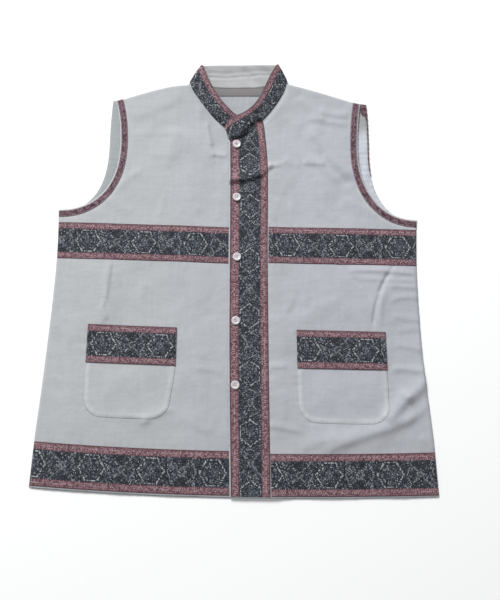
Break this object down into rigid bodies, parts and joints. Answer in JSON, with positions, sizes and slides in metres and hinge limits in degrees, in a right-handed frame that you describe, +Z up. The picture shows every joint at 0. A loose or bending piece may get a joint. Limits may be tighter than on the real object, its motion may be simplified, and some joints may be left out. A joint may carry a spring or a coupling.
{
  "type": "sleeveless short coat",
  "caption": "Hip-length sleeveless cotton coat with a band collar, patch pockets and woven tape trim, buttoned and laid flat.",
  "frame": {"origin": "middle of the bounding box on the surface the garment lies on", "axes": "+Z up from the surface, +Y towards the collar, +X to the right for someone who looks down on the closed front with the collar away from them"},
  "size_m": [0.5768, 0.6603, 0.016],
  "materials": {
    "cotton": "plain-woven off-white cotton, matt, lightly creased",
    "tape": "woven tape, dark slate field with off-white figures and dusty pink borders",
    "trim": "narrow woven tape, dusty pink, matt",
    "neck_trim": "narrow cotton tape, grey, matt",
    "button": "off-white shirt button, softly polished"
  },
  "bodies": {
    "root": {"back": "cotton", "front_left": "cotton", "front_right": "cotton", "pocket_left": "cotton", "pocket_right": "cotton", "collar": "cotton", "collar_tape": "tape", "placket_tape": "tape", "chest_band_left": "tape", "chest_band_right": "tape", "hem_band_left": "tape", "hem_band_right": "tape", "pocket_band_left": "tape", "pocket_band_right": "tape", "armhole_trim_left": "trim", "armhole_trim_right": "trim", "neck_tape": "neck_trim", "button_1": "button", "button_2": "button", "button_3": "button", "button_4": "button", "button_5": "button"}
  },
  "joints": []
}
